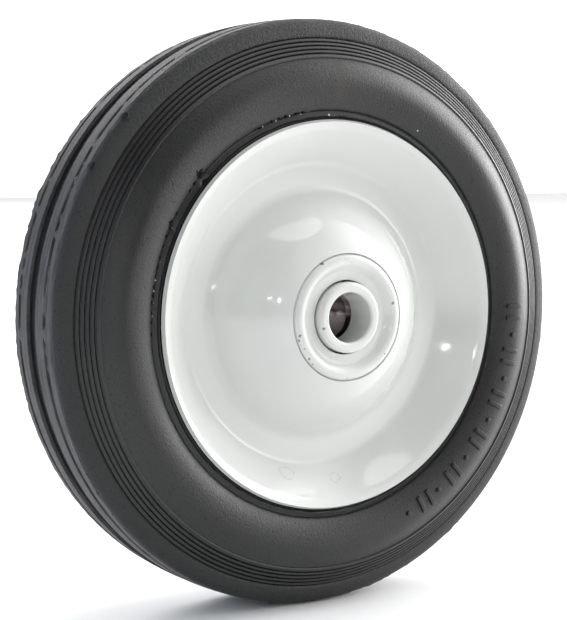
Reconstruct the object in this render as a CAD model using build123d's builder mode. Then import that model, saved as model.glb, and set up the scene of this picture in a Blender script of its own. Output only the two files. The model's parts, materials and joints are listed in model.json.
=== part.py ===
from build123d import *
from math import atan2, cos, degrees, radians, sin
import os

os.makedirs("parts", exist_ok=True)

# A small wheel that turns about Y on a half inch axle. Its shown face looks along -Y, Z is up,
# and the origin is the middle of the wheel. All sizes are in millimetres.
# Every section is drawn with X as the radius and Y as the distance from the wheel's middle
# plane, and is turned about Y. Side pieces are drawn for the back; a mirror makes the front's.

# Overall sizes
tyre_diameter = 152.4
tyre_width = 38.1
rim_diameter = 100.0
rim_width = 35.4
hub_length = 50.8
axle_diameter = 12.7

# Tread: a square groove in the middle, a narrow one on each side, and round shoulders
crown_radius = 130.0
crown_half_width = 11.0
middle_groove_width = 5.2
middle_groove_depth = 1.2
side_groove_width = 1.5
side_groove_depth = 1.0
side_groove_offset = 7.25
shoulder_radius = 9.0

# Ribbed band below the shoulder, as drops from the tread and from the tyre's side
band_outer_drop = 5.45
band_outer_inset = 5.8
band_inner_drop = 10.5
band_inner_inset = 2.75
band_groove_count = 5
band_groove_width = 0.5
band_groove_depth = 0.45
band_groove_pitch = 1.22
band_step = 0.45

# Side wall: hollow below the band, then a round bulge that rolls in to a crevice by the rim
hollow_width = 3.1
hollow_inset = 2.1
hollow_lead = (-0.9, 0.3)
bulge_width = 7.0
roll_width = 3.4
roll_inset = 1.3
roll_lead = (-0.8, -0.7)
crevice_width = 1.8
crevice_depth = 2.1
tyre_base_rise = 2.1

# Pressed steel discs
sheet = 1.2
lip_width = 1.8
lip_angle = 27.0
web_offset = 7.8
web_width = 7.8
wall_reach = 10.6
skirt_angle = 58.0
skirt_length = 4.6
outer_fold_radius = 4.5
inner_fold_radius = 4.0
lip_fold_radius = 4.0
dome_overrun = (1.2, 0.4)

# Inner race: a sleeve that stands out of the bearing's case, with the axle bore through it
sleeve_wall = 2.7
sleeve_length = 11.6
nose_height = 2.5
nose_radius = 1.1
bore_edge_radius = 0.7

# Balls and their grooves
ball_diameter = 3.969
ball_count = 12
ball_play = 0.02
groove_conformity = 0.52
inner_groove_depth = 0.45
outer_groove_depth = 0.6
outer_race_wall = 0.5

# Bearing case: a flange with a round bead, a sunk face and a body pressed into the hub tube
case_wall = 1.18
case_depth = 9.1
case_lip = 0.9
case_lip_thickness = 0.8
running_gap = 0.4
flange_overhang = 0.22
bead_height = 2.0
bead_width = 2.4
bead_radius = 1.75
bead_crest_radius = 1.6
bead_slope_width = 1.9
face_height = 0.2
face_fold_radius = 1.4

# Hub tube, which carries the discs, and the spacer between the two inner races
tube_wall = 1.5875
spacer_clearance = 0.45
spacer_wall = 1.7

# Radii worked out from the axle outwards
axle_radius = axle_diameter / 2
spacer_bore_radius = axle_radius + spacer_clearance
spacer_radius = spacer_bore_radius + spacer_wall
sleeve_radius = axle_radius + sleeve_wall
ball_radius = ball_diameter / 2
inner_groove_floor = sleeve_radius - inner_groove_depth
pitch_radius = inner_groove_floor + ball_play + ball_radius
outer_groove_floor = pitch_radius + ball_radius + ball_play
groove_radius = ball_diameter * groove_conformity
chamber_radius = outer_groove_floor + outer_race_wall
tube_bore_radius = chamber_radius + case_wall
tube_radius = tube_bore_radius + tube_wall
flange_radius = tube_radius + flange_overhang
bead_crest = flange_radius - bead_width
face_radius = bead_crest - bead_slope_width

# Distances from the middle plane
hub_half = hub_length / 2
tube_half = hub_half - nose_height
sleeve_end = hub_half - sleeve_length
face_offset = tube_half + face_height
bead_offset = tube_half + bead_height
case_end = tube_half - case_depth
chamber_start = case_end + case_lip_thickness
chamber_end = face_offset - case_wall
ball_offset = (chamber_start + chamber_end) / 2

# Corners of the disc's outer face, from the lip to the dome
rim_radius = rim_diameter / 2
lip_end = Vector(rim_radius, rim_width / 2)
lip_start = lip_end - Vector(lip_width, 0).rotate(Axis.Z, lip_angle)
wall_foot = Vector(rim_radius - wall_reach, web_offset)
wall = lip_start - wall_foot
skirt_foot = wall_foot - Vector(web_width, 0)
skirt_lead = Vector(-cos(radians(skirt_angle)), sin(radians(skirt_angle)))
skirt_top = skirt_foot + skirt_lead * skirt_length
dome_top = Vector(tube_radius - dome_overrun[0], tube_half + dome_overrun[1])

# Corners of the tyre's section
tyre_radius = tyre_diameter / 2
tyre_half = tyre_width / 2
crown_drop = crown_radius - (crown_radius**2 - crown_half_width**2) ** 0.5
crown_top = Vector(tyre_radius, 0)
crown_edge = Vector(tyre_radius - crown_drop, crown_half_width)
band_start = Vector(tyre_radius - band_outer_drop, tyre_half - band_outer_inset)
band_end = Vector(tyre_radius - band_inner_drop, tyre_half - band_inner_inset)
band = (band_end - band_start).normalized()
step_foot = band_end + band.rotate(Axis.Z, 90) * band_step
hollow = Vector(band_end.X - hollow_width, tyre_half - hollow_inset)
bulge = Vector(rim_radius + bulge_width, tyre_half)
roll = Vector(rim_radius + roll_width, tyre_half - roll_inset)
crevice = Vector(rim_radius + crevice_width, lip_end.Y - crevice_depth)
seat_top = lip_start + wall.normalized().rotate(Axis.Z, -90) * sheet / 2
base_radius = wall_foot.X + tyre_base_rise
seat_foot = seat_top - wall * ((seat_top.X - base_radius) / wall.X)


def mirrored(piece):
    """The same piece on the front of the wheel."""
    with BuildPart() as front:
        mirror(piece, about=Plane.XZ)
    return front.part


def save(part, label):
    """Names a finished piece and writes it."""
    part.label = label
    export_step(part, f"parts/{label}.step")


# Pressed disc: lip, dished wall, flat web, skirt and dome, all one sheet thick
with BuildSketch(Plane.XY) as disc_section:
    with BuildLine():
        FilletPolyline(
            lip_end,
            lip_start,
            wall_foot,
            skirt_foot,
            skirt_top,
            radius=[lip_fold_radius, outer_fold_radius, inner_fold_radius],
        )
        # The dome runs on a little way inside the tube's radius, and the hub hole cuts it back
        TangentArc(skirt_top, dome_top, tangent=skirt_lead)
        offset(amount=sheet, side=Side.LEFT)
    make_face()
    with Locations((tube_radius / 2, tube_half)):
        Rectangle(tube_radius, 2 * tube_half, mode=Mode.SUBTRACT)

with BuildPart() as back_rim_half:
    add(disc_section.sketch)
    revolve(axis=Axis.Y)

# Tyre: one moulding, with the disc's wall pressed into each side of it
with BuildPart() as tyre:
    with BuildSketch(Plane.XY):
        with BuildLine():
            RadiusArc(crown_top, crown_edge, -crown_radius)
            RadiusArc(crown_edge, band_start, -shoulder_radius)
            Polyline(band_start, band_end, step_foot)
            Spline(step_foot, hollow, bulge, roll, tangents=(hollow_lead, roll_lead))
            Polyline(roll, crevice, seat_top, seat_foot, (base_radius, 0), crown_top)
        make_face()
        add(disc_section.sketch, mode=Mode.SUBTRACT)
        with Locations(crown_top):
            Rectangle(2 * middle_groove_depth, middle_groove_width, mode=Mode.SUBTRACT)
        with Locations((tyre_radius, side_groove_offset)):
            Rectangle(2 * side_groove_depth, side_groove_width, mode=Mode.SUBTRACT)
        for number in range(band_groove_count):
            spot = band_start + band * band_groove_pitch * number
            with Locations(Location((spot.X, spot.Y), degrees(atan2(band.Y, band.X)))):
                Rectangle(band_groove_width, 2 * band_groove_depth, mode=Mode.SUBTRACT)
        mirror(about=Plane.XZ)
    revolve(axis=Axis.Y)

with BuildPart() as hub_tube:
    with BuildSketch(Plane.XZ):
        Circle(tube_radius)
        Circle(tube_bore_radius, mode=Mode.SUBTRACT)
    extrude(amount=tube_half, both=True)

# Bearing case: the bead stands on the tube's end, and a lip inside holds the outer race
with BuildPart() as back_bearing_case:
    with BuildSketch(Plane.XY):
        with BuildLine():
            FilletPolyline(
                (flange_radius, tube_half),
                (flange_radius, bead_offset),
                (bead_crest, bead_offset),
                (face_radius, face_offset),
                (sleeve_radius + running_gap, face_offset),
                radius=[bead_radius, bead_crest_radius, face_fold_radius],
            )
            Polyline(
                (sleeve_radius + running_gap, face_offset),
                (sleeve_radius + running_gap, chamber_end),
                (chamber_radius, chamber_end),
                (chamber_radius, chamber_start),
                (chamber_radius - case_lip, chamber_start),
                (chamber_radius - case_lip, case_end),
                (tube_bore_radius, case_end),
                (tube_bore_radius, tube_half),
                (flange_radius, tube_half),
            )
        make_face()
    revolve(axis=Axis.Y)

with BuildPart() as back_outer_race:
    with BuildSketch(Plane.XY):
        land = outer_groove_floor - outer_groove_depth
        with Locations(((chamber_radius + land) / 2, ball_offset)):
            Rectangle(chamber_radius - land, chamber_end - chamber_start)
        with Locations((outer_groove_floor - groove_radius, ball_offset)):
            Circle(groove_radius, mode=Mode.SUBTRACT)
    revolve(axis=Axis.Y)

with BuildPart() as back_inner_race:
    with BuildSketch(Plane.XY):
        with Locations((axle_radius + sleeve_wall / 2, hub_half - sleeve_length / 2)):
            sleeve_face = Rectangle(sleeve_wall, sleeve_length)
        nose = sleeve_face.vertices().group_by(Axis.Y)[-1].sort_by(Axis.X)
        fillet(nose[-1], radius=nose_radius)
        fillet(nose[0], radius=bore_edge_radius)
        with Locations((inner_groove_floor + groove_radius, ball_offset)):
            Circle(groove_radius, mode=Mode.SUBTRACT)
    revolve(axis=Axis.Y)

with BuildPart() as axle_spacer:
    with BuildSketch(Plane.XZ):
        Circle(spacer_radius)
        Circle(spacer_bore_radius, mode=Mode.SUBTRACT)
    extrude(amount=sleeve_end, both=True)

save(tyre.part, "tyre")
save(hub_tube.part, "hub_tube")
save(axle_spacer.part, "axle_spacer")
save(back_rim_half.part, "back_rim_half")
save(back_bearing_case.part, "back_bearing_case")
save(back_outer_race.part, "back_outer_race")
save(back_inner_race.part, "back_inner_race")
save(mirrored(back_rim_half.part), "front_rim_half")
save(mirrored(back_bearing_case.part), "front_bearing_case")
save(mirrored(back_outer_race.part), "front_outer_race")
save(mirrored(back_inner_race.part), "front_inner_race")

# The balls stand evenly round each pair of races
for side, ball_plane in (("front", -ball_offset), ("back", ball_offset)):
    for number in range(ball_count):
        angle = radians(360 * number / ball_count)
        with BuildPart() as ball:
            with Locations((pitch_radius * cos(angle), ball_plane, pitch_radius * sin(angle))):
                Sphere(ball_radius)
        save(ball.part, f"{side}_ball_{number + 1:02d}")
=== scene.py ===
# A small wheel: black ribbed rubber on a white pressed rim, with a ball bearing in its hub.
import json
import math

import bmesh
import bpy
from mathutils import Matrix, Vector, noise
from mathutils.geometry import interpolate_bezier


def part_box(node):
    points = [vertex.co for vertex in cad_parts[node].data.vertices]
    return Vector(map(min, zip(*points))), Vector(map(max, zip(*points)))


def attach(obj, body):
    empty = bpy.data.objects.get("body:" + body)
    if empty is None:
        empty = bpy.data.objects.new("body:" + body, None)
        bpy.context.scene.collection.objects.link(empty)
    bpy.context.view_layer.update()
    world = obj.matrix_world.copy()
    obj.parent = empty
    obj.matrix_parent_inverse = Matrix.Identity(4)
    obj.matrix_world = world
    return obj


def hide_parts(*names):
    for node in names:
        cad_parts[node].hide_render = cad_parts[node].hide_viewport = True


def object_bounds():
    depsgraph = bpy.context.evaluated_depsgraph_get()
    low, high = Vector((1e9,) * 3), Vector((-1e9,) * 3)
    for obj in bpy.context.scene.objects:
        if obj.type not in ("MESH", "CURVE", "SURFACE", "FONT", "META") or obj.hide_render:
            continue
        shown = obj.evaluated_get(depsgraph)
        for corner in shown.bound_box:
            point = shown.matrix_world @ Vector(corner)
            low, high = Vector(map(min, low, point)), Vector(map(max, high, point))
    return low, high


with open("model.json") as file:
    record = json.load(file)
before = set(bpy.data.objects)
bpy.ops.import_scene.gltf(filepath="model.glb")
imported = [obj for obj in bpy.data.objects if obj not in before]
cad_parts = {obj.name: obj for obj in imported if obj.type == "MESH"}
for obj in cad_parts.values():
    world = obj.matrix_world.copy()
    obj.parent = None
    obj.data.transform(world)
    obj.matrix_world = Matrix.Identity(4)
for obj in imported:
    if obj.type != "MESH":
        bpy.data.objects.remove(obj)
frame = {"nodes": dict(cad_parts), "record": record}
cad_low, cad_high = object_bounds()

# Every outline is drawn as the part's is: radius along X, distance from the wheel's middle plane
# along Y, in millimetres, for the back half, and turned about Y. The front is its mirror.
MM = 0.001
AROUND = 2 * math.pi
TYRE_STEPS = 480
RIM_STEPS = 300
HUB_STEPS = 200
SHARP = math.radians(38)
WELD = 0.0005 * MM

tyre_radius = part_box("tyre")[1].z / MM
tyre_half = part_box("tyre")[1].y / MM
flange_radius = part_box("back_bearing_case")[1].z / MM
bead_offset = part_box("back_bearing_case")[1].y / MM
case_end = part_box("back_bearing_case")[0].y / MM
sleeve_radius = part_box("back_inner_race")[1].z / MM
sleeve_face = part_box("back_inner_race")[1].y / MM
sleeve_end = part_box("back_inner_race")[0].y / MM
tube_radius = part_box("hub_tube")[1].z / MM
tube_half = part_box("hub_tube")[1].y / MM
spacer_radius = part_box("axle_spacer")[1].z / MM
bore_radius = frame["record"]["mounts"][0]["dims"]["r_mm"]

# Rim sheet; a lead is the direction in which a curve leaves or reaches a point.
SHEET = 1.2
RIM_EDGE = (50.0, 17.7)
LIP_FOOT = (48.4, 16.88)
LIP_LEAD = (-0.65, -0.76)
LIP_BEND = 0.75
WEB_OFFSET = 7.8
WEB_OUTER = 39.4
WEB_INNER = 31.6
WEB_LEAD = (-0.76, -0.65)
WALL_BEND = 1.3
SKIRT_BEND = 2.2
SKIRT_TOP = (28.4, 11.8)
SKIRT_LEAD = (-0.592, 0.806)
DOME_LEAD = (-0.93, 0.37)

# Bearing case, sleeve and spacer; a bend is how far a rounding reaches from its corner.
TUBE_WALL = 1.59
BEAD_TOP = flange_radius - 2.4
BEAD_FOOT = flange_radius - 4.3
BEAD_BENDS = (1.7, 0.65, 0.58)
FACE_FRONT = tube_half + 0.2
FACE_BACK = tube_half - 0.98
FACE_BEND = 0.2
RUNNING_GAP = 0.4
RACE_SEAT = 13.1
TURNED_IN = 12.2
TURNED_IN_SHEET = 0.8
RACE_START = tube_half - 2.7
RACE_FLOOR = (8.62, 18.25)
NOSE_BEND = 1.1
BORE_BEND = 0.7
SPACER_WALL = 1.7

# Tread
CROWN_RADIUS = 130.0
STRIP_EDGE = 10.3
STRIP_STEP = 0.16
STRIP_SLOPE = 0.12
MIDDLE_GROOVE = 2.6
MIDDLE_DEPTH = 1.2
SIDE_GROOVE = (6.5, 8.0)
SIDE_DEPTH = 1.0
GROOVE_DRAFT = 0.12
SHOULDER_LEADS = ((-0.3, 0.95), (-0.98, 0.2))

# Ribbed band
BAND_START = Vector((tyre_radius - 5.42, tyre_half - 5.8))
BAND_END = Vector((tyre_radius - 10.47, tyre_half - 2.4))
BAND_GROOVES = 5
BAND_PITCH = 1.22
BAND_DEPTH = 0.45
BAND_MOUTH = 0.29
BAND_FLOOR = 0.13
BAND_CROWN = 0.05
BAND_STEP = 0.3
RIB_TOP = (0.38 * BAND_PITCH, 0.62 * BAND_PITCH)
RIB_SIDE = 0.02

# Side wall, and the fin of flash by the rim
BULGE = (59.2, tyre_half)
WALL_EDGE = (52.35, 17.2)
WALL_FOOT = (52.1, 16.7)
WALL_LEADS = ((-0.866, 0.5), (-0.85, -0.53))
WALL_STEPS = 14
FIN_FOOT = (51.85, 16.7)
FIN_TIP = (51.0, 17.3)
FIN_HEEL = (50.72, 17.2)
RIM_SEAT = [(50.55, 16.95), (50.2, 17.3), (50.62, 16.6), (49.2, 15.95), (41.6, 8.35)]

# Raised bars and dots on the front side wall, at angles from the wheel's right side upwards
MARKS = (-1.5, -13.5, -25.5, -37.5, -49.5, -60.5)
MARK_BARS = (-1.6, 1.6)
MARK_DOT = -6.2
MARK_SPAN = (56.0, 60.8)
MARK_WIDTH = 1.15
MARK_HEIGHT = 0.5
MARK_ROOT = 0.5
MARK_BEND = 0.12
DOT_SIZE = 1.3
STUD_ROOT = 0.4
STUD_BEND = 0.1

# Vent marks as (radius, offset, angle), each a low stud with a sunk face
VENTS = [(75.47, 11.2, 149.6), (75.34, 11.31, 138.2)]
VENT_SIZE = 2.3
VENT_HEIGHT = 0.05
VENT_TILT = 60
VENT_DISH = 0.25
VENT_RIM = 0.18
# Width of the painted shade, with the sheen halved, over each vent mark's sunk face
VENT_SHADE_WIDTH = 2.0

# Torn edges: a tear is (angle, reach in degrees, depth), a tooth (angle, size, lean inwards), a
# shred (angle, size), and a stretch (middle angle, reach in degrees).
TEARS = [(137.3, 2.4, 1.9), (152.7, 1.7, 1.3)]
TEETH = [
    (angle + 0.4 * math.sin(angle * 7), 0.55 + 0.2 * math.sin(angle * 3), 0.9)
    for angle in (101.0, 103.1, 104.9, 107.2, 109.0, 111.6, 113.4, 115.5)
] + [
    (angle, 0.6 + 0.15 * math.sin(angle * 5), 0.2)
    for angle in (153.5, 155.0, 163.2, 166.0, 168.1, 169.4, 171.0, 172.4, 174.1, 175.8, 177.6, 179.2)
]
TOOTH_SEAT = (52.25, 17.25)
TOOTH_ROOT = 0.42
TOOTH_TIP = 0.1
SHREDS = [(208.3, 0.9), (212.8, 0.7), (217.8, 1.0), (222.0, 0.8), (228.5, 0.9), (231.0, 0.6)]
SHRED_LEAN = -1.2
SHRED_SUNK = 0.2
UPPER_TEETH = (108, 10)
LEFT_TEETH = (165, 14)
LUMPY_EDGE = (152, 16)
FILLED_GROOVE = (150, 38)

# Spots on the tyre's front as (radius, angle, offset, size): pale dust, and painted shade in the torn
# holes and tears
DUST = [
    (60.39, 130.6, -18.03, 0.6), (54.01, 61.3, -18.19, 0.5), (55.6, 171.0, -18.1, 0.4),
    (54.0, 166.5, -17.6, 0.4), (53.6, 176.0, -17.5, 0.45), (57.5, 63.0, -18.7, 0.3),
    (51.2, 91.5, -17.3, 0.7), (51.2, 89.8, -17.4, 0.5),
] + [
    (52.25 + 0.15 * math.sin(angle * 11), angle, -17.4, 0.28 + 0.25 * abs(math.sin(angle * 9)))
    for angle, size, lean in TEETH[::2]
]
# Painted shade: black spots with almost no sheen, standing in for the shade inside the torn holes and
# tears
SHADED_HOLES = [
    (53.3, 137.3, -17.7, 2.9), (52.8, 140.0, -17.4, 1.4), (52.9, 142.5, -17.4, 1.0),
    (53.0, 152.7, -17.6, 2.1), (52.7, 149.6, -17.3, 1.2), (52.7, 156.2, -17.3, 1.1),
] + [
    (52.5 + 0.15 * math.sin(angle * 5), angle, -17.3, 0.8 + 0.4 * abs(math.sin(angle * 3)))
    for angle in (159.0, 162.1, 164.6, 167.0, 169.9, 172.1, 174.0, 176.9, 179.2, 182.3)
] + [
    (52.5, angle, -17.3, 0.9) for angle in (100.4, 102.6, 106.1, 108.2, 110.7, 114.9)
]

# Marks on the white paint of the front, given in the same way
CASE_CHIPS = [
    (13.82, 13.2, -24.81, 0.8), (15.27, 194.8, -24.63, 0.7),
    (15.7, 199.3, -24.26, 0.6), (15.5, 219.4, -24.46, 0.7), (15.3, 208.0, -24.6, 0.4),
    (14.6, 318.0, -24.8, 0.5), (15.4, 268.0, -24.5, 0.4), (15.6, 226.0, -24.4, 0.4),
]
CASE_RUST = [(15.86, 119.7, -24.02, 1.0)]
CASE_LOOPS = [(14.83, 88.6, -24.83, 1.3), (14.9, 93.5, -24.8, 0.8)]
RIM_SMUDGES = [(17.9, 209.0, -21.9, 0.5), (18.4, 213.0, -21.7, 0.4), (18.9, 219.0, -21.4, 0.45)]
RIM_LOOPS = [(42.65, 255.5, -11.1, 4.4), (43.98, 275.2, -12.45, 3.4)]
SLEEVE_CHIPS = [(8.42, 196.8, -25.29, 0.8)]
SLEEVE_PAINT_END = 16.2

# Where the rubber's finish changes, in millimetres
SHOULDER_RADIUS = (70.2, 71.2)
SHOULDER_SIDE = (9.6, 11.2)
LAND_RADIUS = (75.2, 75.5)
LAND_SIDE = (11.2, 10.2)
SPLICE_MIDDLE = 1.2
SPLICE_REACH = (0.6, 2.4)
SPLICE_HEIGHT = (52.5, 54.0)
SPLICE_SIDE = (14.0, 15.5)

# Colours
RUBBER_BLACK = (0.003, 0.0032, 0.0036, 1)
RUBBER_GREY = (0.0075, 0.0075, 0.0078, 1)
# Tread lands: partly real scuffing, partly painted light standing in for light from behind the wheel
SCUFFED_AND_LIT_GREY = (0.12, 0.112, 0.12, 1)
SPLICE_BROWN = (0.026, 0.022, 0.018, 1)
SPECK_GREY = (0.22, 0.22, 0.22, 1)
# Painted shade inside the torn holes and tears
HOLE_SHADE_BLACK = (0.003, 0.003, 0.003, 1)
DUST_WHITE = (0.55, 0.54, 0.53, 1)
ENAMEL_SHADE = (0.62, 0.635, 0.61, 1)
ENAMEL_WHITE = (0.655, 0.665, 0.645, 1)
CHIP_GREY = (0.21, 0.205, 0.2, 1)
RUST_BROWN = (0.17, 0.12, 0.105, 1)
LOOP_GREY = (0.3, 0.3, 0.31, 1)
BARE_STEEL = (0.13, 0.11, 0.11, 1)
# Bore steel: painted shade above, painted highlight below
BORE_SHADE_STEEL = (0.02, 0.018, 0.02, 1)
BORE_HIGHLIGHT_STEEL = (0.95, 0.84, 0.85, 1)
GREASED_STEEL = (0.50, 0.49, 0.47, 1)
POLISHED_STEEL = (0.68, 0.68, 0.68, 1)
FLOOR_SHADE = (0.91, 0.91, 0.91, 1)
FLOOR_WHITE = (0.93, 0.93, 0.93, 1)

# Light and view; azimuth 0 is straight in front of the wheel, and positive to its right.
SIDE_LIGHT = (95, 0)
SIDE_LIGHT_STRENGTH = 5.3
FLOOR_REACH = 6.0
VIEW_AIM = Vector((-15.26, -17.7, 2.11)) * MM
VIEW_ANGLES = (-32.04, 4.70)
VIEW_DISTANCE = 430 * MM
VIEW_LENS = 99.31


def curve(start, end, start_lead, end_lead, steps):
    """Points on a smooth curve that leaves start and reaches end along the two leads."""
    first, last = Vector((*start, 0)), Vector((*end, 0))
    reach = (last - first).length / 3
    leave = first + Vector((*start_lead, 0)).normalized() * reach
    arrive = last - Vector((*end_lead, 0)).normalized() * reach
    return [(p.x, p.y) for p in interpolate_bezier(first, leave, arrive, last, steps)]


def outline(points, closed=True):
    """An outline drawn in the plane of X and Y, as a new mesh and its corners."""
    mesh = bmesh.new()
    corners = [mesh.verts.new((radius * MM, offset * MM, 0)) for radius, offset in points]
    ends = corners[1:] + corners[:1] if closed else corners[1:]
    for corner, following in zip(corners, ends):
        mesh.edges.new((corner, following))
    return mesh, corners


def soften(mesh, corner, reach, steps):
    """Rounds one corner of an outline, from reach millimetres before it to as far behind it."""
    bmesh.ops.bevel(
        mesh, geom=[corner], offset=reach * MM, offset_type="OFFSET", segments=steps,
        profile=0.5, affect="VERTICES", material=-1,
    )


def round_edges(mesh, edges, reach):
    """Rounds edges of a mesh in two steps."""
    bmesh.ops.bevel(
        mesh, geom=edges, offset=reach * MM, offset_type="OFFSET", segments=2, profile=0.5,
        affect="EDGES", material=-1,
    )


def turned(mesh, steps):
    """Turns an outline once about the axle."""
    bmesh.ops.spin(
        mesh, geom=mesh.verts[:] + mesh.edges[:], cent=(0, 0, 0), axis=(0, 1, 0),
        angle=AROUND, steps=steps, use_merge=True,
    )
    return mesh


def front(mesh):
    """Mirrors a mesh drawn for the back of the wheel to its front."""
    bmesh.ops.transform(mesh, matrix=Matrix.Scale(-1, 4, (0, 1, 0)), verts=mesh.verts[:])
    return mesh


def back(mesh):
    """Leaves a mesh drawn for the back of the wheel where it is."""
    return mesh


def outwards(angle):
    """Unit vector from the axle at an angle in degrees, from the wheel's right side upwards."""
    turn = math.radians(angle)
    return Vector((math.cos(turn), 0, math.sin(turn)))


def facing(direction):
    """The turn that points a mesh's Z along a direction."""
    return direction.to_track_quat("Z", "Y").to_matrix().to_4x4()


def piece(mesh, name, material, body):
    """Turns a finished mesh into an object that rides on a body."""
    bmesh.ops.remove_doubles(mesh, verts=mesh.verts[:], dist=WELD)
    bmesh.ops.recalc_face_normals(mesh, faces=mesh.faces[:])
    for face in mesh.faces:
        face.smooth = True
    data = bpy.data.meshes.new(name)
    mesh.to_mesh(data)
    mesh.free()
    data.set_sharp_from_angle(angle=SHARP)
    data.materials.append(material)
    made = bpy.data.objects.new(name, data)
    bpy.context.scene.collection.objects.link(made)
    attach(made, body)
    return made


class Finish:
    """A material and the nodes that paint it, all placed by Object coordinates."""

    def __init__(self, name, **surface):
        self.material = bpy.data.materials.new(name)
        self.material.use_nodes = True
        self.tree = self.material.node_tree
        self.shader = self.tree.nodes["Principled BSDF"]
        self.place = self.node("TexCoord").outputs["Object"]
        for socket, value in surface.items():
            self.shader.inputs[socket.replace("_", " ")].default_value = value

    def fill(self, socket, value):
        """Links a node's output to a socket, or sets the socket to a plain value."""
        if isinstance(value, bpy.types.NodeSocket):
            self.tree.links.new(value, socket)
        else:
            socket.default_value = value

    def node(self, kind, values=None, **settings):
        made = self.tree.nodes.new("ShaderNode" + kind)
        for setting, value in settings.items():
            setattr(made, setting, value)
        for socket, value in (values or {}).items():
            self.fill(made.inputs[socket], value)
        return made

    def noise(self, scale, detail=3.0, roughness=0.5, place=None):
        values = {"Scale": scale, "Detail": detail, "Roughness": roughness}
        values["Vector"] = place or self.place
        return self.node("TexNoise", values).outputs["Fac"]

    def stretched(self, scale):
        """The place, stretched along some axes by a scale under 1."""
        return self.node("Mapping", {"Vector": self.place, "Scale": scale}).outputs[0]

    def maths(self, operation, *values):
        return self.node("Math", dict(enumerate(values)), operation=operation).outputs[0]

    def times(self, first, second):
        return self.maths("MULTIPLY", first, second)

    def step(self, value, low, high, bottom=0.0, top=1.0):
        """A smooth step: bottom where value is under low, top where it is over high."""
        values = {"Value": value, "From Min": low, "From Max": high, "To Min": bottom, "To Max": top}
        return self.node("MapRange", values, interpolation_type="SMOOTHSTEP").outputs[0]

    def blend(self, share, first, second):
        """The first colour, with a share of the second over it."""
        values = {"Factor": share, "A": first, "B": second}
        made = self.tree.nodes.new("ShaderNodeMix")
        made.data_type = "RGBA"
        for socket in made.inputs:
            if socket.enabled and socket.name in values:
                self.fill(socket, values[socket.name])
        return next(socket for socket in made.outputs if socket.enabled)

    def radius(self):
        """Distance from the axle, in millimetres."""
        values = {0: self.place, 1: (1, 0, 1)}
        flat = self.node("VectorMath", values, operation="MULTIPLY").outputs[0]
        length = self.node("VectorMath", {0: flat}, operation="LENGTH").outputs["Value"]
        return self.maths("DIVIDE", length, MM)

    def along(self, axis):
        """One coordinate, in millimetres."""
        return self.maths("DIVIDE", self.node("SeparateXYZ", {0: self.place}).outputs[axis], MM)

    def distance(self, radius, angle, offset):
        """Distance in metres from a place on the wheel, which is given in millimetres."""
        middle = (outwards(angle) * radius + Vector((0, offset, 0))) * MM
        values = {0: self.place, 1: middle}
        return self.node("VectorMath", values, operation="DISTANCE").outputs["Value"]

    def spots(self, places, wobble=0.35, wobble_scale=1500.0):
        """A mask of uneven spots, each given as (radius, angle, offset, size)."""
        ragged = self.maths("SUBTRACT", self.noise(wobble_scale, 2.0), 0.5)
        mask = 0.0
        for radius, angle, offset, size in places:
            away = self.distance(radius, angle, offset)
            away = self.maths("MULTIPLY_ADD", ragged, size * wobble * 2 * MM, away)
            spot = self.step(away, size * 0.35 * MM, size * 0.6 * MM, 1.0, 0.0)
            mask = self.maths("MAXIMUM", mask, spot)
        return mask

    def loops(self, places, line=0.13, wobble=2.6):
        """A mask of thin uneven loops, each given as (radius, angle, offset, size)."""
        ragged = self.maths("SUBTRACT", self.noise(520.0, 3.0), 0.5)
        mask = 0.0
        for radius, angle, offset, size in places:
            away = self.distance(radius, angle, offset)
            away = self.maths("MULTIPLY_ADD", ragged, wobble * MM, away)
            away = self.maths("ABSOLUTE", self.maths("SUBTRACT", away, size / 2 * MM))
            loop = self.step(away, line * 0.4 * MM, line * MM, 1.0, 0.0)
            mask = self.maths("MAXIMUM", mask, loop)
        return mask

    def bump(self, height, distance, under=None):
        values = {"Height": height, "Distance": distance, "Strength": 1.0}
        if under:
            values["Normal"] = under
        return self.node("Bump", values).outputs["Normal"]

    def set(self, socket, value):
        self.tree.links.new(value, self.shader.inputs[socket])


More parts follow.
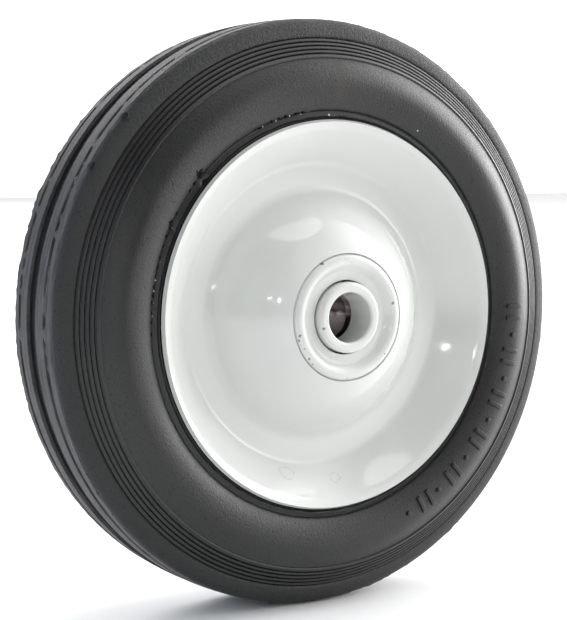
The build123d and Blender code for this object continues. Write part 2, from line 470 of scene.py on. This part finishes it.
def rubber():
    """Black moulded rubber: fine pebble on the walls, coarse grain on the shoulders, dust."""
    finish = Finish("moulded_rubber")
    radius = finish.radius()
    side = finish.maths("ABSOLUTE", finish.along("Y"))
    mottle = finish.noise(70.0, 4.0, 0.6)
    # Painted shade in the torn holes and tears by the rim
    hole_shade = finish.spots(SHADED_HOLES, 0.6)
    shoulder = finish.times(finish.step(radius, *SHOULDER_RADIUS), finish.step(side, *SHOULDER_SIDE))
    land = finish.times(finish.step(radius, *LAND_RADIUS), finish.step(side, *LAND_SIDE))
    across = finish.maths("ABSOLUTE", finish.maths("SUBTRACT", finish.along("X"), SPLICE_MIDDLE))
    high = finish.times(
        finish.step(finish.along("Z"), *SPLICE_HEIGHT), finish.step(side, *SPLICE_SIDE)
    )
    splice = finish.times(finish.step(across, *SPLICE_REACH, 1.0, 0.0), high)

    streaks = finish.noise(420.0, 5.0, 0.7, finish.stretched((0.25, 3, 0.25)))
    # The lands' pale grey is partly real scuffing and partly painted light, for the light they would
    # get from behind the wheel
    scuffed_and_lit = finish.times(land, finish.step(streaks, 0.32, 0.62, 0.12, 0.6))
    specks = finish.times(finish.step(finish.noise(2600.0, 2.0, 0.6), 0.68, 0.76), 0.22)
    colour = finish.blend(mottle, RUBBER_BLACK, RUBBER_GREY)
    colour = finish.blend(scuffed_and_lit, colour, SCUFFED_AND_LIT_GREY)
    colour = finish.blend(finish.times(splice, 0.7), colour, SPLICE_BROWN)
    colour = finish.blend(specks, colour, SPECK_GREY)
    # Painted shade: the holes and tears are painted black
    colour = finish.blend(hole_shade, colour, HOLE_SHADE_BLACK)
    finish.set("Base Color", finish.blend(finish.spots(DUST), colour, DUST_WHITE))

    shine = finish.step(finish.noise(1700.0, 2.0, 0.6), 0.6, 0.7, 0.55, 0.34)
    # Painted shade: the holes and tears lose almost all their sheen
    shine = finish.times(shine, finish.step(hole_shade, 0.0, 1.0, 1.0, 0.08))
    # Painted shade: the vent marks' sunk faces lose half their sheen
    vent_shade = finish.spots([(radius, angle, -offset, VENT_SHADE_WIDTH) for radius, offset, angle in VENTS])
    shine = finish.times(shine, finish.step(vent_shade, 0.0, 1.0, 1.0, 0.5))
    finish.set("Specular IOR Level", shine)

    rough = finish.step(mottle, 0.3, 0.7, 0.34, 0.42)
    rough = finish.maths("MULTIPLY_ADD", shoulder, 0.18, rough)
    rough = finish.maths("MULTIPLY_ADD", land, 0.25, rough)
    finish.set("Roughness", finish.maths("MULTIPLY_ADD", splice, 0.2, rough))

    pebble = finish.bump(finish.noise(1900.0, 3.0, 0.6), 0.10 * MM)
    grain = finish.times(finish.noise(1150.0, 4.0, 0.7), shoulder)
    finish.set("Normal", finish.bump(grain, 0.28 * MM, under=pebble))
    return finish.material


def white_paint(name, chips=(), rust=(), loops=(), bare_within=0.0):
    """Glossy white enamel with a little ripple, and the marks that are given.

    Where bare_within is set, the bore is bare steel nearer than that to the middle plane.
    """
    finish = Finish(name, IOR=1.5, Coat_Weight=0.4, Coat_Roughness=0.03)
    colour = finish.blend(finish.noise(45.0), ENAMEL_SHADE, ENAMEL_WHITE)
    rough = finish.step(finish.noise(300.0, 2.0), 0.3, 0.7, 0.075, 0.11)
    if chips:
        colour = finish.blend(finish.spots(chips, 0.7, 2400.0), colour, CHIP_GREY)
    if rust:
        colour = finish.blend(finish.spots(rust), colour, RUST_BROWN)
    if loops:
        colour = finish.blend(finish.times(finish.loops(loops), 0.38), colour, LOOP_GREY)
    if bare_within:
        depth = finish.maths("ABSOLUTE", finish.along("Y"))
        deep = finish.step(depth, bare_within - 0.1, bare_within + 0.1, 1.0, 0.0)
        bore = finish.step(finish.radius(), bore_radius + 0.15, bore_radius + 0.25, 1.0, 0.0)
        bare = finish.times(bore, deep)
        colour = finish.blend(bare, colour, BARE_STEEL)
        rough = finish.maths("MULTIPLY_ADD", bare, 0.1, rough)
        finish.set("Metallic", bare)
    finish.set("Base Color", colour)
    finish.set("Roughness", rough)
    finish.set("Normal", finish.bump(finish.noise(420.0, 2.0, 0.4), 0.02 * MM))
    return finish.material


def drawn_steel():
    """Bare drawn tube, with painted shade above and a painted highlight below."""
    finish = Finish("drawn_steel", Metallic=1.0, IOR=2.5)
    streaks = finish.noise(2600.0, 3.0, 0.6, finish.stretched((1, 0.08, 1)))
    height = finish.maths("MULTIPLY_ADD", finish.noise(160.0, 4.0, 0.6), 4.0, finish.along("Z"))
    # Painted shade and highlight: darker towards the top, lighter and rougher towards the bottom
    painted_highlight = finish.step(height, 0.0, 2.6, 1.0, 0.0)
    rough = finish.step(streaks, 0.3, 0.7, 0.1, 0.16)
    finish.set("Base Color", finish.blend(painted_highlight, BORE_SHADE_STEEL, BORE_HIGHLIGHT_STEEL))
    finish.set("Roughness", finish.maths("MULTIPLY_ADD", painted_highlight, 0.24, rough))
    finish.set("Normal", finish.bump(streaks, 0.008 * MM))
    return finish.material


def bearing_steel():
    """Polished steel of the balls and the outer races, under a film of grease."""
    finish = Finish("bearing_steel", Metallic=1.0, IOR=2.5)
    film = finish.noise(500.0)
    finish.set("Base Color", finish.blend(film, GREASED_STEEL, POLISHED_STEEL))
    finish.set("Roughness", finish.step(film, 0.3, 0.7, 0.12, 0.3))
    finish.set("Normal", finish.bump(finish.noise(3000.0, 2.0), 0.004 * MM))
    return finish.material


def tread_at(offset):
    """Radius of the tread at a distance from the middle plane."""
    return tyre_radius - CROWN_RADIUS + math.sqrt(CROWN_RADIUS**2 - offset**2)


def crown(start, end, steps):
    """Points across the tread between two grooves."""
    offsets = [start + (end - start) * number / steps for number in range(steps + 1)]
    return [(tread_at(offset), offset) for offset in offsets]


def groove(start, end, depth):
    """The floor of a tread groove, with drafted walls."""
    bottom = tyre_radius - depth
    return [(bottom, start + GROOVE_DRAFT), (bottom, end - GROOVE_DRAFT)]


def strip_edge():
    """The top and the foot of the small step at the outer edge of the tread."""
    top = tread_at(STRIP_EDGE)
    return (top, STRIP_EDGE), (top - STRIP_STEP, STRIP_EDGE + STRIP_SLOPE)


def band():
    """Ribs and grooves down the band below the shoulder, each rib with soft edges."""
    along = (BAND_END - BAND_START).normalized()
    inward = Vector((-along.y, along.x))
    rib = [
        (-BAND_MOUTH, RIB_SIDE), (-BAND_FLOOR, BAND_DEPTH), (BAND_FLOOR, BAND_DEPTH),
        (BAND_MOUTH, RIB_SIDE), (RIB_TOP[0], -BAND_CROWN), (RIB_TOP[1], -BAND_CROWN),
    ]
    rounded_end = [(-0.12, -BAND_CROWN), (0.0, 0.05), (0.1, 0.2), (0.1, BAND_STEP)]
    points = []
    for number in range(BAND_GROOVES):
        middle = BAND_START + along * BAND_PITCH * number
        points += [middle + along * run + inward * sunk for run, sunk in rib]
    points.pop()
    points += [BAND_END + along * run + inward * sunk for run, sunk in rounded_end]
    return [tuple(point) for point in points]


def tyre_side():
    """The side wall from the band to the roll by the rim."""
    start_lead, end_lead = WALL_LEADS
    wall = curve(band()[-1], BULGE, start_lead, (-1, 0), WALL_STEPS)
    return wall + curve(BULGE, WALL_EDGE, (-1, 0), end_lead, WALL_STEPS)[1:]


def tyre_half_outline():
    """From the middle of the tread down one side to the base."""
    side_start, side_end = SIDE_GROOVE
    points = [(tyre_radius - MIDDLE_DEPTH, 0)]
    points += groove(0, MIDDLE_GROOVE, MIDDLE_DEPTH)[1:]
    points += crown(MIDDLE_GROOVE, side_start, 4)
    points += groove(side_start, side_end, SIDE_DEPTH)
    points += crown(side_end, STRIP_EDGE, 3)
    points += curve(strip_edge()[1], BAND_START, *SHOULDER_LEADS, 10)[:-1]
    points += band()
    points += tyre_side()[1:]
    return points + [WALL_FOOT, FIN_FOOT, FIN_TIP, FIN_HEEL] + RIM_SEAT


def side_at(radius):
    """Offset of the side wall at a radius."""
    side = tyre_side()
    for (outer, high), (inner, low) in zip(side, side[1:]):
        if inner <= radius <= outer:
            return low + (high - low) * (radius - inner) / (outer - inner)


def ring(mesh, radius, offset, reach=0.05):
    """The vertices of one ring of a turned mesh, on both sides of the wheel, with their angles."""
    found = []
    for vert in mesh.verts:
        x, y, z = vert.co / MM
        if abs(math.hypot(x, z) - radius) < reach and abs(abs(y) - offset) < reach:
            found.append((vert, math.degrees(math.atan2(z, x)) % 360))
    return found


def wander(vert, scale, seed):
    """Smooth noise at a vertex, about -1 to 1; a larger scale is finer, a seed is a pattern."""
    return noise.noise(vert.co / MM * scale + Vector((seed, seed, seed))) * 1.6


def near(angle, stretch):
    """How far an angle lies in a stretch: 1 inside, fading to 0 over 6 degrees at its ends."""
    middle, reach = stretch
    away = abs((angle - middle + 180) % 360 - 180)
    return min(1.0, max(0.0, (reach - away) / 6 + 0.5))


def torn(angle):
    """How deep the wall is torn at an angle, in millimetres."""
    return sum(depth * max(0.0, 1 - abs(angle - middle) / reach) for middle, reach, depth in TEARS)


def widen(vert, factor):
    """Moves a vertex straight away from the axle."""
    vert.co.x *= factor
    vert.co.z *= factor


def shift_out(vert, amount):
    """Moves a vertex away from the wheel's middle plane, in millimetres."""
    vert.co.y += math.copysign(MM, vert.co.y) * amount


def roughen_tread(mesh):
    """Ragged edges of the outer strips, wavy grooves, and side grooves that are partly filled."""
    for radius, offset in strip_edge():
        for vert, angle in ring(mesh, radius, offset):
            shift_out(vert, 0.22 * wander(vert, 0.16, 3.0) + 0.30 * wander(vert, 0.7, 8.0))
            if vert.co.y > 0:
                lump = 0.5 * near(angle, LUMPY_EDGE) * max(0.0, wander(vert, 0.5, 4.0))
                widen(vert, 1 + lump / radius)
    for offset in (SIDE_GROOVE[0] + GROOVE_DRAFT, SIDE_GROOVE[1] - GROOVE_DRAFT):
        for vert, angle in ring(mesh, tyre_radius - SIDE_DEPTH, offset):
            filled = near(angle, FILLED_GROOVE) * max(0.0, wander(vert, 0.33, 5.0) * 2 + 0.1)
            widen(vert, 1 + min(0.85, filled) * SIDE_DEPTH / tyre_radius)
    for vert, angle in ring(mesh, tread_at(MIDDLE_GROOVE), MIDDLE_GROOVE):
        vert.co.y += MM * 0.14 * wander(vert, 0.8, 11.0)


def tear_side(mesh):
    """The torn front edge of the side wall by the rim, and the uneven fin along it."""
    for radius, offset in (WALL_EDGE, WALL_FOOT):
        for vert, angle in ring(mesh, radius, offset):
            if vert.co.y < 0:
                rough = 0.05 + 0.15 * near(angle, UPPER_TEETH) + 0.12 * near(angle, LEFT_TEETH)
                grown = rough * wander(vert, 1.4, 2.0) + torn(angle)
                shift_out(vert, -0.8 * torn(angle))
                widen(vert, 1 + grown / radius)
    for vert, angle in ring(mesh, *FIN_TIP) + ring(mesh, *FIN_HEEL):
        sunk = 0.08 * wander(vert, 0.5, 6.0)
        if vert.co.y < 0:
            sunk += 0.5 * torn(angle)
        shift_out(vert, -sunk)


def point_out(mesh, radius, offset, angle, size, lean):
    """A torn point of rubber on the front of the tyre; lean tips it towards the axle."""
    outward = outwards(angle)
    place = Matrix.Translation((outward * radius - Vector((0, offset, 0))) * MM)
    bmesh.ops.create_cone(
        mesh, cap_ends=True, segments=5, radius1=size * TOOTH_ROOT * MM,
        radius2=size * TOOTH_TIP * MM, depth=size * MM,
        matrix=place @ facing(Vector((0, -1, 0)) - outward * lean),
    )


def bar(mesh, angle):
    """A raised bar with soft edges on the front side wall."""
    inner, outer = MARK_SPAN
    radii = [outer + (inner - outer) * number / 6 for number in range(7)]
    top = [(radius, side_at(radius) + MARK_HEIGHT) for radius in radii]
    below = [(radius, side_at(radius) - MARK_ROOT) for radius in reversed(radii)]
    made, corners = outline(top + below)
    face = made.faces.new(corners)
    turn = MARK_WIDTH / inner
    bmesh.ops.spin(
        made, geom=[face] + made.edges[:] + made.verts[:], cent=(0, 0, 0), axis=(0, 1, 0),
        angle=turn, steps=3,
    )
    bmesh.ops.holes_fill(made, edges=[edge for edge in made.edges if edge.is_boundary], sides=0)
    bmesh.ops.recalc_face_normals(made, faces=made.faces[:])
    edges = [edge for edge in made.edges if edge.calc_face_angle(0.0) > SHARP]
    round_edges(made, edges, MARK_BEND)
    front(made)
    placed = Matrix.Rotation(-math.radians(angle) - turn / 2, 4, "Y")
    bmesh.ops.transform(made, matrix=placed, verts=made.verts[:])
    join(mesh, made)


def stud(mesh, radius, offset, angle, size, height, tilt=0, dish=0.0):
    """A low round stud on the front of the tyre; tilt turns its face from the front outwards."""
    outward, lean = outwards(angle), math.radians(tilt)
    direction = outward * math.sin(lean) - Vector((0, math.cos(lean), 0))
    middle = outward * radius - Vector((0, offset, 0)) + direction * (height - STUD_ROOT) / 2
    made = bmesh.new()
    bmesh.ops.create_cone(
        made, cap_ends=True, segments=28, radius1=size / 2 * MM, radius2=size / 2 * MM,
        depth=(height + STUD_ROOT) * MM,
    )
    round_edges(made, top_face(made).edges[:], STUD_BEND)
    if dish:
        bmesh.ops.inset_individual(
            made, faces=[top_face(made)], thickness=VENT_RIM * MM, depth=-dish * MM
        )
    placed = Matrix.Translation(middle * MM) @ facing(direction)
    bmesh.ops.transform(made, matrix=placed, verts=made.verts[:])
    join(mesh, made)


def top_face(mesh):
    """The highest face of a mesh that still stands along Z."""
    return max(mesh.faces, key=lambda face: face.calc_center_median().z)


def join(mesh, other):
    """Moves another mesh into this one."""
    data = bpy.data.meshes.new("joined")
    other.to_mesh(data)
    other.free()
    mesh.from_mesh(data)
    bpy.data.meshes.remove(data)


def tyre(material):
    """The whole tyre in one mesh: turned section, torn edges, raised marks and vent marks."""
    half = tyre_half_outline()
    whole = half + [(radius, -offset) for radius, offset in reversed(half[1:])]
    mesh = turned(outline(whole)[0], TYRE_STEPS)
    bmesh.ops.remove_doubles(mesh, verts=mesh.verts[:], dist=WELD)
    roughen_tread(mesh)
    tear_side(mesh)
    for angle, size, lean in TEETH:
        point_out(mesh, *TOOTH_SEAT, angle, size, lean)
    for angle, size in SHREDS:
        point_out(mesh, tread_at(STRIP_EDGE) - SHRED_SUNK, STRIP_EDGE, angle, size, SHRED_LEAN)
    dot_radius = sum(MARK_SPAN) / 2
    for middle in MARKS:
        for away in MARK_BARS:
            bar(mesh, middle + away)
        stud(mesh, dot_radius, side_at(dot_radius), middle + MARK_DOT, DOT_SIZE, MARK_HEIGHT)
    for radius, offset, angle in VENTS:
        stud(mesh, radius, offset, angle, VENT_SIZE, VENT_HEIGHT, VENT_TILT, VENT_DISH)
    made = piece(mesh, "ribbed_tyre", material, "wheel")
    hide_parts("tyre")


def rim_half():
    """Pressed disc: lip, dished wall, web, skirt and dome, with the sheet's thickness."""
    wall = curve(LIP_FOOT, (WEB_OUTER, WEB_OFFSET), LIP_LEAD, WEB_LEAD, 6)
    dome = curve(SKIRT_TOP, (tube_radius, tube_half), SKIRT_LEAD, DOME_LEAD, 14)
    mesh, corners = outline([RIM_EDGE] + wall + [(WEB_INNER, WEB_OFFSET)] + dome, False)
    lip_foot, web_outer, web_inner = corners[1], corners[len(wall)], corners[len(wall) + 1]
    soften(mesh, web_inner, SKIRT_BEND, 8)
    soften(mesh, web_outer, WALL_BEND, 6)
    soften(mesh, lip_foot, LIP_BEND, 6)
    turned(mesh, RIM_STEPS)
    bmesh.ops.remove_doubles(mesh, verts=mesh.verts[:], dist=WELD)
    bmesh.ops.recalc_face_normals(mesh, faces=mesh.faces[:])
    bmesh.ops.solidify(mesh, geom=mesh.faces[:], thickness=SHEET * MM)
    return mesh


def bearing_case():
    """Flange with a round bead, a sunk face and the wall that goes into the tube."""
    hole, outside = sleeve_radius + RUNNING_GAP, tube_radius - TUBE_WALL
    mesh, corners = outline([
        (flange_radius, tube_half), (flange_radius, bead_offset), (BEAD_TOP, bead_offset),
        (BEAD_FOOT, FACE_FRONT), (hole, FACE_FRONT), (hole, FACE_BACK), (RACE_SEAT, FACE_BACK),
        (RACE_SEAT, case_end + TURNED_IN_SHEET), (TURNED_IN, case_end + TURNED_IN_SHEET),
        (TURNED_IN, case_end), (outside, case_end), (outside, tube_half),
    ])
    outer_bend, top_bend, foot_bend = BEAD_BENDS
    soften(mesh, corners[4], FACE_BEND, 3)
    soften(mesh, corners[3], foot_bend, 6)
    soften(mesh, corners[2], top_bend, 6)
    soften(mesh, corners[1], outer_bend, 10)
    return turned(mesh, HUB_STEPS)


def sleeve():
    """Inner race, drawn out to a sleeve with a round nose."""
    mesh, corners = outline([
        (bore_radius, sleeve_end), (bore_radius, sleeve_face), (sleeve_radius, sleeve_face),
        (sleeve_radius, RACE_START), RACE_FLOOR, (sleeve_radius, sleeve_end),
    ])
    soften(mesh, corners[2], NOSE_BEND, 8)
    soften(mesh, corners[1], BORE_BEND, 6)
    return turned(mesh, HUB_STEPS)


def spacer():
    """Plain tube between the two sleeves."""
    inside = spacer_radius - SPACER_WALL
    wall = [
        (inside, -sleeve_end), (inside, sleeve_end),
        (spacer_radius, sleeve_end), (spacer_radius, -sleeve_end),
    ]
    return turned(outline(wall)[0], HUB_STEPS)


def both_sides(make, name, node, front_material, back_material, body):
    """A piece on the front of the wheel and its twin on the back."""
    for side, place, material in (("front", front, front_material), ("back", back, back_material)):
        made = piece(place(make()), f"{side}_{name}", material, body)
        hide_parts(f"{side}_{node}")


def towards(azimuth, elevation):
    """Unit vector from the wheel to a viewer or a lamp."""
    turn, rise = math.radians(azimuth), math.radians(elevation)
    return Vector((
        math.sin(turn) * math.cos(rise), -math.cos(turn) * math.cos(rise), math.sin(rise)
    ))


def lamp(name, azimuth, elevation, distance, size, power, tall=0.0, aim=(0, 0, 0), colour=(1, 1, 1)):
    """A soft light that looks at the wheel or at aim: round, or a panel if tall.

    Its distance, width and height are in metres, and its power in watts.
    """
    data = bpy.data.lights.new(name, "AREA")
    data.shape = "RECTANGLE" if tall else "DISK"
    data.size = size
    if tall:
        data.size_y = tall
    data.energy = power
    data.color = colour
    light = bpy.data.objects.new(name, data)
    direction = towards(azimuth, elevation)
    light.location = Vector(aim) + direction * distance
    light.rotation_euler = direction.to_track_quat("Z", "Y").to_euler()
    bpy.context.scene.collection.objects.link(light)


def floor():
    """A plain pale floor that the tyre just touches."""
    mesh = bmesh.new()
    bmesh.ops.create_grid(mesh, x_segments=1, y_segments=1, size=FLOOR_REACH)
    bmesh.ops.translate(mesh, verts=mesh.verts[:], vec=(0, 0, cad_low.z))
    finish = Finish("pale_floor", Roughness=0.6)
    finish.set("Base Color", finish.blend(finish.noise(6.0), FLOOR_SHADE, FLOOR_WHITE))
    data = bpy.data.meshes.new("floor")
    mesh.to_mesh(data)
    mesh.free()
    data.materials.append(finish.material)
    made = bpy.data.objects.new("floor", data)
    bpy.context.scene.collection.objects.link(made)


def camera():
    """The photograph's view: 430 mm from the wheel, 32 degrees to its left."""
    direction = towards(*VIEW_ANGLES)
    data = bpy.data.cameras.new("camera")
    data.sensor_fit = "AUTO"
    data.sensor_width = 36.0
    data.lens = VIEW_LENS
    data.clip_start = 0.01
    made = bpy.data.objects.new("camera", data)
    made.location = VIEW_AIM + direction * VIEW_DISTANCE
    made.rotation_euler = direction.to_track_quat("Z", "Y").to_euler()
    bpy.context.scene.collection.objects.link(made)
    bpy.context.scene.camera = made


def surroundings():
    """A studio that is bright on the wheel's right, and plain white where the camera sees it."""
    world = bpy.data.worlds.new("studio")
    world.use_nodes = True
    nodes, links = world.node_tree.nodes, world.node_tree.links
    background = nodes["Background"]
    background.inputs["Color"].default_value = (1, 1, 1, 1)

    def maths(operation, *values):
        made = nodes.new("ShaderNodeMath")
        made.operation = operation
        for socket, value in zip(made.inputs, values):
            if isinstance(value, bpy.types.NodeSocket):
                links.new(value, socket)
            else:
                socket.default_value = value
        return made.outputs[0]

    aligned = nodes.new("ShaderNodeVectorMath")
    aligned.operation = "DOT_PRODUCT"
    links.new(nodes.new("ShaderNodeTexCoord").outputs["Generated"], aligned.inputs[0])
    aligned.inputs[1].default_value = towards(*SIDE_LIGHT)
    glow = maths("POWER", maths("MAXIMUM", aligned.outputs["Value"], 0.0), 2.0)
    seen = nodes.new("ShaderNodeLightPath").outputs["Is Camera Ray"]
    strength = maths("MAXIMUM", maths("MULTIPLY", glow, SIDE_LIGHT_STRENGTH), seen)
    links.new(strength, background.inputs["Strength"])
    bpy.context.scene.world = world


# Pieces
black = rubber()
plain_white = white_paint("white_enamel")
rim_white = white_paint("marked_enamel", RIM_SMUDGES, loops=RIM_LOOPS)
case_white = white_paint("chipped_enamel", CASE_CHIPS, CASE_RUST, CASE_LOOPS)
sleeve_white = white_paint("sleeve_enamel", SLEEVE_CHIPS, bare_within=SLEEVE_PAINT_END)
tube_steel = drawn_steel()
ball_steel = bearing_steel()

tyre(black)
both_sides(rim_half, "pressed_rim", "rim_half", rim_white, plain_white, "wheel")
both_sides(bearing_case, "flange", "bearing_case", case_white, plain_white, "wheel")
both_sides(sleeve, "sleeve", "inner_race", sleeve_white, sleeve_white, "axle_core")
inner_tube = piece(spacer(), "inner_tube", tube_steel, "axle_core")
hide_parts("axle_spacer")

# The pieces that keep their CAD mesh get their steel here.
for name, node in frame["nodes"].items():
    if node.hide_render:
        continue
    node.data.materials.clear()
    node.data.materials.append(tube_steel if name == "hub_tube" else ball_steel)

# Stage, view and light; a lamp is its name, azimuth, elevation, distance, width and power.
bpy.context.scene.view_settings.view_transform = "Standard"
surroundings()
floor()
camera()
lamp("flash_left", -44, 13.9, 0.46, 0.009, 0.05)
lamp("flash_right", -32.7, 11.3, 0.46, 0.011, 0.1)
lamp("left", -70, 22, 0.9, 0.7, 0.6, colour=(0.82, 0.92, 1.0))
lamp("left_rear", -100, 17, 0.9, 0.3, 2.6, tall=0.5, colour=(0.72, 0.87, 1.0))
lamp("side", 85, 0, 0.9, 1.1, 6.6)
lamp("window", 92, -4, 0.9, 0.1, 1.3, tall=1.0)
lamp("pane", 79.6, 38.7, 0.9, 0.16, 0.45, tall=0.1)
lamp("high_left", -20, 40, 0.9, 1.3, 0.8)
lamp("high_front", 30, 40, 0.9, 1.3, 2.0)
lamp("overhead", 0, 86, 0.9, 0.7, 2.6)
lamp("backdrop", 0, 90, 2.0, 3.4, 120, aim=(0, 3.0, 0))
